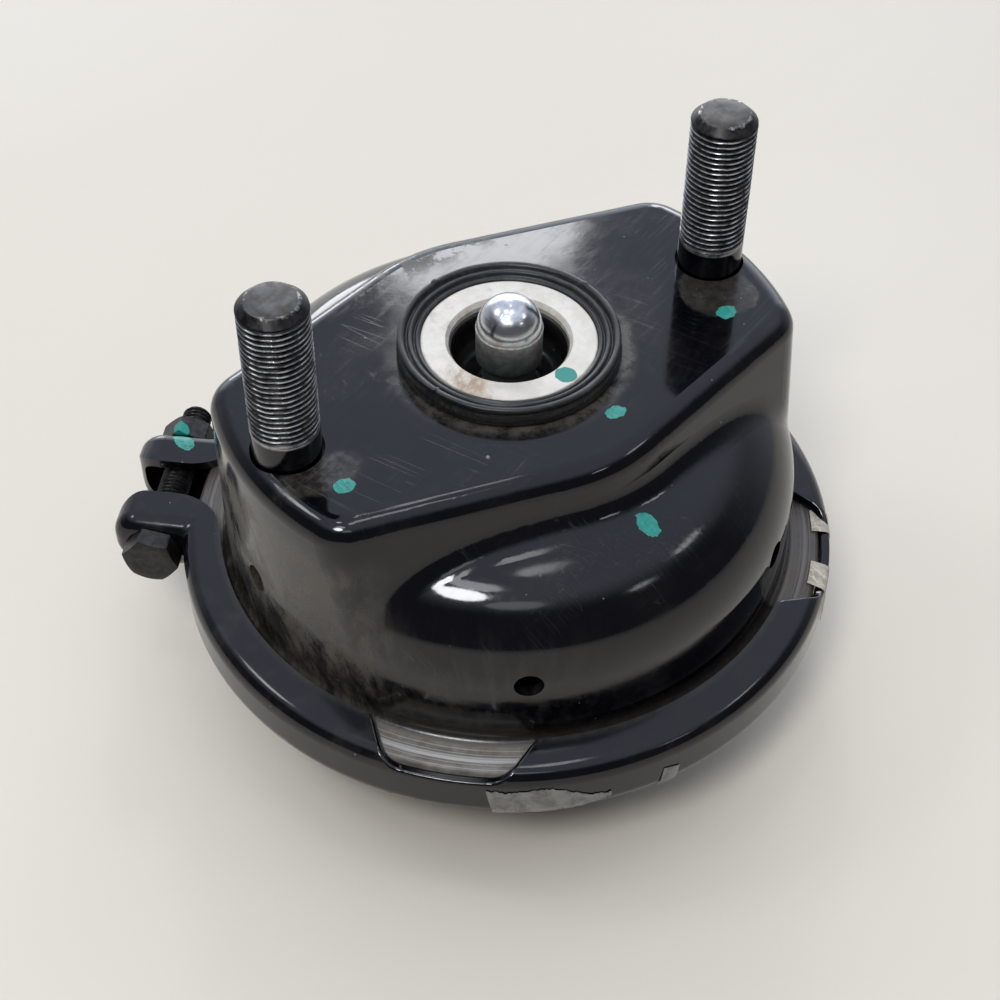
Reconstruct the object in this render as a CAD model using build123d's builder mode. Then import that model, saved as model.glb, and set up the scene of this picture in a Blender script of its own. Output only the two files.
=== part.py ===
from build123d import *
from math import atan, cos, degrees, radians, sin, tan
import os

# Single diaphragm brake chamber, size 16, for an air disc brake.
# Origin: centre of the mounting face. +Z points out of the face, along the push rod's stroke,
# and +X runs from the middle of the face to one of the two studs. Millimetres.

os.makedirs("parts", exist_ok=True)

# Driving dimensions ---------------------------------------------------------------------------

sheet = 2.8  # steel of both housings
gap = 0.05  # between pieces that bear on each other
reach = 100.0  # past every outline that a sketch is trimmed to

# front housing: a lens-shaped boss drawn out of a round cup
waist_radius = 44.5  # rounded middle of the boss, each side
flank_slope = 15.0  # the flanks run in towards the studs, degrees
boss_end_radius = 71.8
boss_corner_radius = 11.0
boss_depth = 42.0
boss_draft = 10.0
face_edge_radius = 5.5
crease_radius = 8.0
shelf_z = -14.0
shoulder_bend = 24.0
wall_radius = 72.0
drain_radius = 3.5
drain_z = -37.8

# flanged joint between the housings
joint_z = -64.5
flange_radius = 81.2
flange_edge_radius = 2.0
flange_bend = 2.5
flange_angle = 10.0
joint_height = 6.55  # half height over both flanges, at the clamp band's inner edge

# rear housing
rear_z = -102.0
bowl_radius = 70.5
bowl_bend = 22.0

# air port
port_z = -87.0
port_face_y = 80.0
port_boss_radius = 10.5
port_tap_radius = 7.25  # M16 x 1.5
port_depth = 12.0
port_bore_radius = 5.0

# clamp band
band_sheet = 2.6
band_radius = 84.0
band_lip_radius = 74.0
band_bend = 4.5
split_angle = 139.3
first_window = 86.7  # from the split
window_pitch = 90.5
window_half_angle = 15.2  # at the lip's edge
window_reach = 90.0
window_reach_half_angle = 7.8
window_floor = 5.0  # joint plane to the web's top in a window
window_corner = 4.0
window_floor_corner = 4.6
window_edge_radius = 0.8
lug_reach = 101.5
lug_half_height = 8.3
lug_back = 17.7  # split's middle to the faces under bolt head and nut
lug_rim = 5.5  # split's middle to each lug's rim
lug_corner = 7.0
lug_face_edge = 4.5
lug_rim_corner = 8.0
lug_root = 77.0
lug_root_bend = 3.0
lip_sweep = 14.0  # rounding where a lip runs out into a lug's rim
lip_sweep_x = 77.0
lip_sweep_angle = 30.0
bolt_offset = 90.2

# clamp bolt M8 x 50 and its nut
bolt_radius = 4.0
bolt_hole_radius = 4.5
bolt_length = 50.0
hex_across_flats = 13.0
bolt_head_height = 5.3
nut_height = 6.8
hex_taper = 60.0
head_turn = 18  # how far the tightened hexagons stand turned
nut_turn = 48

# studs M16 x 1.5 and the plate that carries them
stud_spacing = 120.65
stud_radius = 8.0
stud_hole_radius = 8.6
stud_length = 43.8
stud_chamfer = 2.0
stud_neck_radius = 7.7
stud_tail_radius = 7.0
stud_head_radius = 10.5
stud_head_height = 3.5
stud_head_flat = 7.2  # from the stud's axis, beside the housing's end wall
plate_thickness = 4.0
plate_waist = 40.6
plate_end = 68.1
plate_corner = 8.5
plate_edge = 3.4
plate_hole_radius = 24.0

# guide ring, seal and boot round the push rod
ring_outer = 21.1
ring_bore = 14.4
ring_bottom = 0.6
ring_top = 3.1
ring_spigot_outer = 17.6
ring_spigot_bore = 15.4
ring_spigot_end = -7.0
ring_snap = 18.3
seal_seat_radius = 27.0
seal_seat_depth = 0.2
seal_outer = 26.5
seal_top = 5.0
housing_hole_radius = 20.0
boot_sheet = 1.6

# moving piston
rod_radius = 6.5
rod_top = 4.0
head_radius = 8.0
head_bottom = -2.4
head_shoulder = 6.3
head_top = 15.1
dome_radius = 7.5
piston_radius = 50.0
piston_sheet = 2.5
piston_rim_z = -87.0
piston_bend = 7.0
rod_foot_radius = 12.0

# diaphragm and return spring
diaphragm_thickness = 3.0
diaphragm_z = -98.9
diaphragm_radius = 67.2
bead_inner = 75.3
bead_outer = 79.3
spring_wire = 2.1
spring_turns = 4.5
spring_bottom_radius = 35.0
spring_top_radius = 27.2


def joint_top(radius):
    """Half height of the flanged joint at a radius: the flanges slope to the band's lips."""
    return joint_height - (radius - band_lip_radius) * tan(radians(flange_angle))


def polar(radius, angle):
    """Point at a radius and an angle in degrees."""
    return (radius * cos(radians(angle)), radius * sin(radians(angle)))


# Pressed housings -----------------------------------------------------------------------------


def round_form(skin, bends, floor, inset):
    """Solid of revolution between a pressed skin, moved in by inset, and a floor."""
    with BuildPart() as form:
        with BuildSketch(Plane.XZ):
            with BuildLine():
                bent = FilletPolyline(*skin, radius=bends)
                Polyline(bent @ 1, (reach, floor), (-reach, floor), bent @ 0)
            make_face()
            if inset:
                offset(amount=-inset)
            Rectangle(reach, 4 * reach, align=(Align.MIN, Align.CENTER), mode=Mode.INTERSECT)
        revolve(axis=Axis.Z)
    return form.part


def lens_outline(waist):
    """Two round waists joined by straight flanks that run on to two points."""
    peak = waist / cos(radians(flank_slope))
    tip = waist / sin(radians(flank_slope))
    with BuildSketch() as lens:
        Polygon((0, peak), (-tip, 0), (0, -peak), (tip, 0))
        fillet(lens.vertices().sort_by(Axis.Y)[-1], waist)
        fillet(lens.vertices().sort_by(Axis.Y)[0], waist)
    return lens.sketch


def boss_form(inset):
    """The drafted boss, with its walls and face moved in by inset."""
    with BuildPart() as form:
        with BuildSketch(Plane.XY.offset(-inset)):
            add(lens_outline(waist_radius - inset))
        extrude(amount=inset - boss_depth, taper=-boss_draft)
        with BuildSketch(Plane.XY.offset(-inset)):
            Circle(boss_end_radius - inset)
        extrude(amount=inset - boss_depth, mode=Mode.INTERSECT)
        upright = [edge for edge in form.edges() if abs(edge.tangent_at(0.5).Z) > 0.9]
        corners = [edge for edge in upright if abs(edge.center().X) > waist_radius]
        fillet(corners, boss_corner_radius - inset)
    return form.part


def front_form(inset):
    """Cup and boss joined, with the crease between them and the edge of the face rounded."""
    cup_skin = (
        (-reach, shelf_z),
        (wall_radius, shelf_z),
        (wall_radius, joint_z + joint_top(wall_radius)),
        (reach, joint_z + joint_top(reach)),
    )
    with BuildPart() as form:
        add(round_form(cup_skin, [shoulder_bend, flange_bend], -reach, inset))
        add(boss_form(inset))
        fillet(form.new_edges, crease_radius + inset)
        fillet(form.edges().group_by(Axis.Z)[-1], face_edge_radius - inset)
    return form.part


def rear_form(inset):
    """The bowl and its flange, open side up."""
    bowl_skin = (
        (-reach, rear_z),
        (bowl_radius, rear_z),
        (bowl_radius, joint_z - joint_top(bowl_radius)),
        (reach, joint_z - joint_top(reach)),
    )
    return round_form(bowl_skin, [bowl_bend, flange_bend], 0, inset)


def flange_edges(housing):
    """The round edges at the rim of a housing's flange."""
    circles = housing.edges().filter_by(GeomType.CIRCLE)
    return circles.filter_by(lambda edge: abs(edge.radius - flange_radius) < gap)


with BuildPart() as front_housing:
    add(front_form(0))
    add(front_form(sheet), mode=Mode.SUBTRACT)
    with BuildSketch(Plane.XY.offset(joint_z)):
        Circle(flange_radius)
    extrude(amount=reach, mode=Mode.INTERSECT)
    fillet(flange_edges(front_housing).group_by(Axis.Z)[-1], flange_edge_radius)
    with BuildSketch():
        Circle(seal_seat_radius)
    extrude(amount=-seal_seat_depth, mode=Mode.SUBTRACT)
    with BuildSketch():
        Circle(housing_hole_radius)
        with GridLocations(stud_spacing, 0, 2, 1):
            Circle(stud_hole_radius)
    extrude(amount=-2 * sheet, mode=Mode.SUBTRACT)
    for angle in range(0, 360, 60):
        with BuildSketch(Plane((0, 0, drain_z), z_dir=(*polar(1, angle), 0))):
            Circle(drain_radius)
        extrude(amount=reach, mode=Mode.SUBTRACT)

front_housing.part.label = "front_housing"
export_step(front_housing.part, "parts/front_housing.step")

with BuildPart() as rear_housing:
    add(rear_form(0))
    add(rear_form(sheet), mode=Mode.SUBTRACT)
    with BuildSketch(Plane.XY.offset(joint_z)):
        Circle(flange_radius)
    extrude(amount=-reach, mode=Mode.INTERSECT)
    fillet(flange_edges(rear_housing).group_by(Axis.Z)[0], flange_edge_radius)
    with BuildSketch(Plane.XZ.offset(-bowl_radius / 2)):
        with Locations((0, port_z)):
            Circle(port_boss_radius)
    extrude(amount=-reach, mode=Mode.SUBTRACT)

rear_housing.part.label = "rear_housing"
export_step(rear_housing.part, "parts/rear_housing.step")

# Air port: a turned boss welded into the bowl's wall -------------------------------------------

with BuildPart() as port_boss:
    with BuildSketch(Plane.XZ.offset(-bowl_radius / 2)):
        with Locations((0, port_z)):
            Circle(port_boss_radius)
    extrude(amount=bowl_radius / 2 - port_face_y)
    add(rear_form(sheet), mode=Mode.SUBTRACT)
    mouth = port_boss.edges().filter_by(GeomType.CIRCLE).sort_by(Axis.Y)[-1]
    chamfer(mouth, 1.0)
    with Locations(Plane((0, port_face_y, port_z), z_dir=(0, 1, 0))):
        Hole(port_tap_radius, depth=port_depth)
        Hole(port_bore_radius, depth=port_depth * 2)

port_boss.part.label = "port_boss"
export_step(port_boss.part, "parts/port_boss.step")

# Clamp band -----------------------------------------------------------------------------------
# Drawn with its split on the X axis and the bolt's head on the +Y side, then turned into place.


def channel_form(inset):
    """The band's channel as a solid disc, its skin moved in by inset."""
    lip_rise = gap + band_sheet / cos(radians(flange_angle))
    middle = joint_top(0) + lip_rise
    rim = joint_top(band_radius) + lip_rise
    with BuildPart() as form:
        with BuildSketch(Plane.XZ) as section:
            with Locations((0, joint_z)):
                Polygon((0, middle), (band_radius, rim), (band_radius, -rim), (0, -middle), align=None)
            fillet(section.vertices().group_by(Axis.X)[-1], band_bend)
            if inset:
                offset(amount=-inset)
        revolve(axis=Axis.Z)
    return form.part


def lug_form(side, inset):
    """One lug as a rounded block, moved in by inset. It is an open dish on the split's side,
    so there the inset block runs on past the rim."""
    back = side * (lug_back - inset)
    rim = side * (lug_rim - inset)
    length = lug_reach - inset - lug_root
    with BuildPart() as form:
        with BuildSketch(Plane.XZ.offset(-back)) as face:
            with Locations((lug_root, joint_z)):
                Rectangle(length, 2 * (lug_half_height - inset), align=(Align.MIN, Align.CENTER))
            fillet(face.vertices().group_by(Axis.X)[-1], lug_corner - inset)
        extrude(amount=back - rim)
        back_face = form.faces().sort_by(Axis.Y)[-1 if side > 0 else 0]
        outline = [edge for edge in back_face.edges() if edge.center().X > lug_root + gap]
        fillet(outline, lug_face_edge - inset)
    return form.part


def band_form(inset):
    """Channel and lugs joined, with the corner between web and lug rounded."""
    with BuildPart() as form:
        add(channel_form(inset))
        add(lug_form(1, inset))
        add(lug_form(-1, inset))
        upright = form.edges().filter_by(Axis.Z)
        roots = [edge for edge in upright if abs(edge.center().Y) > 2 * lug_rim]
        fillet(roots, lug_root_bend + inset)
    return form.part


def window_form(side, middle):
    """What a window cuts from the lip on one side of the joint, round the middle angle."""
    corners = (
        (band_lip_radius, -2 * window_half_angle),
        (band_lip_radius, -window_half_angle),
        (window_reach, -window_reach_half_angle),
        (window_reach, window_reach_half_angle),
        (band_lip_radius, window_half_angle),
        (band_lip_radius, 2 * window_half_angle),
    )
    with BuildPart() as form:
        with BuildSketch(Plane.XY.offset(joint_z + side * window_floor)) as mouth:
            Polygon(*[polar(radius, angle) for radius, angle in corners], align=None)
            fillet(mouth.vertices().group_by(Axis.X)[1], window_corner)
        extrude(amount=side * band_radius)
        floor = form.edges().group_by(Axis.Z)[0 if side > 0 else -1]
        halfway = (band_lip_radius + window_reach) / 2
        sides = floor.filter_by(lambda edge: abs(edge.center().X - halfway) < window_corner)
        fillet(sides, window_floor_corner)
    return form.part.rotate(Axis.Z, middle)


with BuildPart() as band_on_x:
    add(band_form(0))
    add(band_form(band_sheet), mode=Mode.SUBTRACT)
    with BuildSketch(Plane.XY.offset(joint_z)):
        Circle(band_lip_radius)
    extrude(amount=reach, both=True, mode=Mode.SUBTRACT)
    # the split, with each rim swept into the lips and rounded at its outer corner
    with BuildSketch(Plane.XY.offset(joint_z)):
        with BuildLine():
            rim_line = FilletPolyline(
                polar(band_lip_radius, lip_sweep_angle),
                (lip_sweep_x, lug_rim),
                (lug_reach + gap, lug_rim),
                (lug_reach + gap, lug_back + lug_rim),
                radius=[lip_sweep, lug_rim_corner],
            )
            Polyline(rim_line @ 1, (2 * reach, lug_back + lug_rim), (2 * reach, 0), (0, 0), rim_line @ 0)
        make_face()
        mirror(about=Plane.XZ)
    extrude(amount=lug_half_height * 2, both=True, mode=Mode.SUBTRACT)
    # windows, where both lips are cut away down to the web
    for side in (1, -1):
        for number in range(3):
            add(window_form(side, first_window + number * window_pitch), mode=Mode.SUBTRACT)
            fillet(band_on_x.new_edges, window_edge_radius)
    with BuildSketch(Plane.XZ):
        with Locations((bolt_offset, joint_z)):
            Circle(bolt_hole_radius)
    extrude(amount=lug_back * 2, both=True, mode=Mode.SUBTRACT)

with BuildPart() as clamp_band:
    add(band_on_x.part, rotation=(0, 0, split_angle))

clamp_band.part.label = "clamp_band"
export_step(clamp_band.part, "parts/clamp_band.step")


def hexagon(plane, height, turn, both_ends):
    """A hexagon along the plane's normal with its corners turned off at the far end, or at both."""
    with BuildPart() as form:
        with BuildSketch(plane):
            RegularPolygon(hex_across_flats / 2, 6, major_radius=False, rotation=turn)
        extrude(amount=height)
        with BuildSketch(plane.offset(height)):
            Circle(hex_across_flats / 2 - gap)
        extrude(amount=-height, taper=-hex_taper, mode=Mode.INTERSECT)
        if both_ends:
            with BuildSketch(plane):
                Circle(hex_across_flats / 2 - gap)
            extrude(amount=height, taper=-hex_taper, mode=Mode.INTERSECT)
    return form.part


head_plane = Plane((bolt_offset, lug_back + gap, joint_z), x_dir=(0, 0, 1), z_dir=(0, 1, 0))
nut_plane = Plane((bolt_offset, -lug_back - gap, joint_z), x_dir=(0, 0, 1), z_dir=(0, -1, 0))

with BuildPart() as bolt_on_x:
    add(hexagon(head_plane, bolt_head_height, head_turn, both_ends=False))
    with BuildSketch(head_plane):
        Circle(bolt_radius)
    extrude(amount=-bolt_length)
    chamfer(bolt_on_x.edges().sort_by(Axis.Y)[0], bolt_radius / 5)

with BuildPart() as clamp_bolt:
    add(bolt_on_x.part, rotation=(0, 0, split_angle))

clamp_bolt.part.label = "clamp_bolt"
export_step(clamp_bolt.part, "parts/clamp_bolt.step")

with BuildPart() as nut_on_x:
    add(hexagon(nut_plane, nut_height, nut_turn, both_ends=True))
    with BuildSketch(nut_plane):
        Circle(bolt_radius + gap)
    extrude(amount=nut_height, mode=Mode.SUBTRACT)

with BuildPart() as clamp_nut:
    add(nut_on_x.part, rotation=(0, 0, split_angle))

clamp_nut.part.label = "clamp_nut"
export_step(clamp_nut.part, "parts/clamp_nut.step")

# Mounting studs and their plate ---------------------------------------------------------------

stud_x = stud_spacing / 2

with BuildPart() as right_stud:
    with BuildSketch(Plane.XZ):
        with BuildLine():
            Polyline(
                (stud_x, -sheet - plate_thickness - stud_head_height),
                (stud_x + stud_head_radius, -sheet - plate_thickness - stud_head_height),
                (stud_x + stud_head_radius, -sheet - plate_thickness),
                (stud_x + stud_tail_radius, -sheet - plate_thickness),
                (stud_x + stud_tail_radius, -sheet),
                (stud_x + stud_neck_radius, -sheet),
                (stud_x + stud_neck_radius, 0),
                (stud_x + stud_radius, 0),
                (stud_x + stud_radius, stud_length - stud_chamfer),
                (stud_x + stud_radius - stud_chamfer, stud_length),
                (stud_x, stud_length),
                close=True,
            )
        make_face()
    revolve(axis=Axis((stud_x, 0, 0), (0, 0, 1)))
    with BuildSketch(Plane.XY.offset(-sheet - plate_thickness)):
        with Locations((stud_x + stud_head_flat, 0)):
            Rectangle(reach, reach, align=(Align.MIN, Align.CENTER))
    extrude(amount=-stud_head_height, mode=Mode.SUBTRACT)

right_stud.part.label = "right_stud"
export_step(right_stud.part, "parts/right_stud.step")

with BuildPart() as left_stud:
    mirror(right_stud.part, about=Plane.YZ)

left_stud.part.label = "left_stud"
export_step(left_stud.part, "parts/left_stud.step")

with BuildPart() as stud_plate:
    with BuildSketch(Plane.XY.offset(-sheet - plate_thickness)) as outline:
        add(lens_outline(plate_waist))
        Circle(plate_end, mode=Mode.INTERSECT)
        fillet(outline.vertices().filter_by(lambda v: abs(v.X) > stud_x), plate_corner)
    extrude(amount=plate_thickness)
    chamfer(stud_plate.edges().group_by(Axis.Z)[-1], plate_edge)
    with BuildSketch(Plane.XY.offset(-sheet)):
        Circle(plate_hole_radius)
        with GridLocations(stud_spacing, 0, 2, 1):
            Circle(stud_tail_radius)
    extrude(amount=-plate_thickness, mode=Mode.SUBTRACT)

stud_plate.part.label = "stud_plate"
export_step(stud_plate.part, "parts/stud_plate.step")

# Guide ring, face seal and boot ---------------------------------------------------------------


def turned(outline):
    """A solid of revolution from the (radius, height) points of its half section."""
    with BuildPart() as form:
        with BuildSketch(Plane.XZ):
            Polygon(*outline, align=None)
        revolve(axis=Axis.Z)
    return form.part


with BuildPart() as guide_ring:
    add(
        turned(
            (
                (ring_bore, ring_bottom),
                (ring_spigot_bore, ring_bottom),
                (ring_spigot_bore, ring_spigot_end),
                (ring_spigot_outer, ring_spigot_end),
                (ring_snap, -sheet - 2.2),
                (ring_spigot_outer, -sheet - 1.9),
                (ring_spigot_outer, ring_bottom),
                (ring_outer, ring_bottom),
                (ring_outer, ring_top),
                (ring_bore + 0.8, ring_top),
                (ring_bore, ring_top - 1.2),
            )
        )
    )
    fillet(guide_ring.edges().group_by(Axis.Z)[-1].sort_by(SortBy.LENGTH)[-1], 0.4)

guide_ring.part.label = "guide_ring"
export_step(guide_ring.part, "parts/guide_ring.step")

seal_neck = ring_spigot_outer + gap
seal_inner = ring_outer + gap

with BuildPart() as seal_ring:
    add(
        turned(
            (
                (seal_neck, ring_bottom - gap),
                (seal_neck, -sheet - 1.8),
                (housing_hole_radius + 2.5, -sheet - 1.3),
                (housing_hole_radius + 2.5, -sheet - gap),
                (housing_hole_radius - 0.1, -sheet - gap),
                (housing_hole_radius - 0.1, -seal_seat_depth),
                (seal_outer, -seal_seat_depth),
                (seal_outer + 0.3, 1.2),
                (seal_outer, 2.6),
                (seal_outer - 0.5, 3.3),
                (seal_outer, 3.9),
                (seal_outer, seal_top - 0.3),
                (seal_outer - 0.4, seal_top),
                (seal_outer - 1.7, seal_top - 0.4),
                (seal_outer - 2.0, seal_top - 1.1),
                (seal_outer - 2.3, seal_top - 0.7),
                (seal_outer - 3.7, seal_top - 1.2),
                (seal_outer - 4.0, seal_top - 1.9),
                (seal_outer - 4.3, seal_top - 1.4),
                (seal_inner, seal_top - 1.7),
                (seal_inner, ring_bottom - gap),
            )
        )
    )

seal_ring.part.label = "seal_ring"
export_step(seal_ring.part, "parts/seal_ring.step")

boot_bead = ring_spigot_bore - gap
boot_top = ring_bottom - gap
boot_grip = rod_radius + gap
boot_neck_z = -12.5
boot_end_z = -16.0

with BuildPart() as boot:
    add(
        turned(
            (
                (boot_bead - 1.9, boot_top),
                (boot_bead, boot_top),
                (boot_bead, -6.4),
                (boot_bead - 1.2, -7.6),
                (boot_grip + 2.0, boot_neck_z - boot_sheet),
                (boot_grip + 2.0, boot_end_z),
                (boot_grip, boot_end_z),
                (boot_grip, boot_neck_z),
                (boot_grip + 1.6, boot_neck_z + 1.2),
                (boot_bead - 1.9, -5.4),
            )
        )
    )

boot.part.label = "boot"
export_step(boot.part, "parts/boot.step")

# Push rod and piston --------------------------------------------------------------------------

with BuildPart() as rod_head:
    with BuildSketch(Plane.XZ):
        with BuildLine():
            Polyline(
                (0, rod_top + gap),
                (rod_radius + gap, rod_top + gap),
                (rod_radius + gap, head_bottom),
                (head_radius, head_bottom),
                (head_radius, head_shoulder),
                (dome_radius - 0.15, head_shoulder + 0.8),
                (dome_radius, head_top - dome_radius),
            )
            RadiusArc((dome_radius, head_top - dome_radius), (0, head_top), -dome_radius)
            Line((0, head_top), (0, rod_top + gap))
        make_face()
    revolve(axis=Axis.Z)

rod_head.part.label = "rod_head"
export_step(rod_head.part, "parts/rod_head.step")

piston_z = diaphragm_z + diaphragm_thickness + 0.3
piston_top_z = piston_z + piston_sheet

with BuildPart() as push_plate:
    with Locations((0, 0, piston_z)):
        Cylinder(piston_radius, piston_rim_z - piston_z, align=(Align.CENTER, Align.CENTER, Align.MIN))
    fillet(push_plate.edges().group_by(Axis.Z)[0], piston_bend)
    offset(amount=-piston_sheet, openings=push_plate.faces().sort_by(Axis.Z)[-1])

push_plate.part.label = "push_plate"
export_step(push_plate.part, "parts/push_plate.step")

with BuildPart() as push_rod:
    with Locations((0, 0, piston_top_z)):
        Cylinder(rod_foot_radius, 2.5, align=(Align.CENTER, Align.CENTER, Align.MIN))
        Cylinder(rod_radius, rod_top - piston_top_z, align=(Align.CENTER, Align.CENTER, Align.MIN))
    fillet(push_rod.edges().filter_by(GeomType.CIRCLE).group_by(Axis.Z)[1].sort_by(SortBy.RADIUS)[0], 3.0)

push_rod.part.label = "push_rod"
export_step(push_rod.part, "parts/push_rod.step")

# Diaphragm and return spring ------------------------------------------------------------------


def bead_top(radius):
    """Half height of the bead that the flanges clamp, at a radius."""
    return joint_top(radius) - sheet / cos(radians(flange_angle)) - gap


with BuildPart() as diaphragm:
    with BuildSketch(Plane.XZ):
        half = diaphragm_thickness / 2
        with BuildLine():
            FilletPolyline(
                (0, diaphragm_z + half),
                (diaphragm_radius - half, diaphragm_z + half),
                (diaphragm_radius - half, joint_z),
                ((bead_inner + bead_outer) / 2, joint_z),
                radius=[bowl_bend - sheet - 2, flange_bend + sheet],
            )
        trace(line_width=diaphragm_thickness)
        with Locations((0, joint_z)):
            Polygon(
                (bead_inner, bead_top(bead_inner)),
                (bead_outer, bead_top(bead_outer)),
                (bead_outer, -bead_top(bead_outer)),
                (bead_inner, -bead_top(bead_inner)),
                align=None,
            )
    revolve(axis=Axis.Z)

diaphragm.part.label = "diaphragm"
export_step(diaphragm.part, "parts/diaphragm.step")

spring_foot_z = piston_top_z + gap + spring_wire
spring_height = -sheet - plate_thickness - gap - spring_wire - spring_foot_z

with BuildPart() as return_spring:
    with BuildLine():
        coil = Helix(
            spring_height / spring_turns,
            spring_height,
            spring_bottom_radius,
            center=(0, 0, spring_foot_z),
            cone_angle=-degrees(atan((spring_bottom_radius - spring_top_radius) / spring_height)),
        )
    with BuildSketch(Plane(coil @ 0, z_dir=coil % 0)):
        Circle(spring_wire)
    sweep()

return_spring.part.label = "return_spring"
export_step(return_spring.part, "parts/return_spring.step")
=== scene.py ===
from math import cos, hypot, pi, radians, sin, tan

import bpy
from mathutils import Matrix, Vector, noise


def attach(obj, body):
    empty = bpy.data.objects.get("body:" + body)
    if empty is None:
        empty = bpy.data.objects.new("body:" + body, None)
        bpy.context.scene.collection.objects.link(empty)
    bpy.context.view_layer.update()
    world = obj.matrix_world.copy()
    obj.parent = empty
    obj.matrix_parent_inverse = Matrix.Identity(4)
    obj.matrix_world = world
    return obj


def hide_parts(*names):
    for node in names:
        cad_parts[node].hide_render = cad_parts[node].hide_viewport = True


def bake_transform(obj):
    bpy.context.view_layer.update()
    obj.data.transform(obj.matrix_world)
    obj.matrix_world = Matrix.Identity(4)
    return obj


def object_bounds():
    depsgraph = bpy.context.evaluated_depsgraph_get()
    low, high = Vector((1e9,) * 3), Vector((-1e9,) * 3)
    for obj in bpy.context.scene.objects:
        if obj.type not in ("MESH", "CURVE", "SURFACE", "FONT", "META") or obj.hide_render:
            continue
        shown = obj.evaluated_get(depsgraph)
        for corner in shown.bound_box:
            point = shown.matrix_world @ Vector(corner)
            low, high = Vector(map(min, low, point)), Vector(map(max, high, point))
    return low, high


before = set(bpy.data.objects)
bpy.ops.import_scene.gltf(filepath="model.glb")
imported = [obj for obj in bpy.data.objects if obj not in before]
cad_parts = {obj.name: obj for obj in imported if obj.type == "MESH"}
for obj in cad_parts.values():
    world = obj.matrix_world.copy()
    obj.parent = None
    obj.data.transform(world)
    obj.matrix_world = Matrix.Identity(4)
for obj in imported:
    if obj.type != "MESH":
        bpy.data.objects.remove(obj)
cad_box = [list(corner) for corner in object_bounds()]
MM = 0.001

# Places on the chamber, in millimetres from the middle of its mounting face ---------------------
STUD_X = 60.325
STUD_TOP = 43.8
THREAD_START = 7.4
JOINT_Z = -64.5  # where the two housings meet
SPLIT = radians(139.3)  # azimuth of the band's split
BOLT_OFFSET = 90.2  # from the chamber's axis to the clamp bolt's
FLOOR_Z = cad_box[0][2]


def smooth(value, low, high):
    """0 at low, 1 at high, eased between."""
    t = min(max((value - low) / (high - low), 0.0), 1.0)
    return t * t * (3 - 2 * t)


def across_band(p):
    """From the bolt's own frame, Z towards its head, into the chamber's."""
    x, y, z = BOLT_OFFSET + p[0], p[2], -p[1]
    return (x * cos(SPLIT) - y * sin(SPLIT), x * sin(SPLIT) + y * cos(SPLIT), JOINT_Z + z)


# Materials --------------------------------------------------------------------------------------


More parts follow.
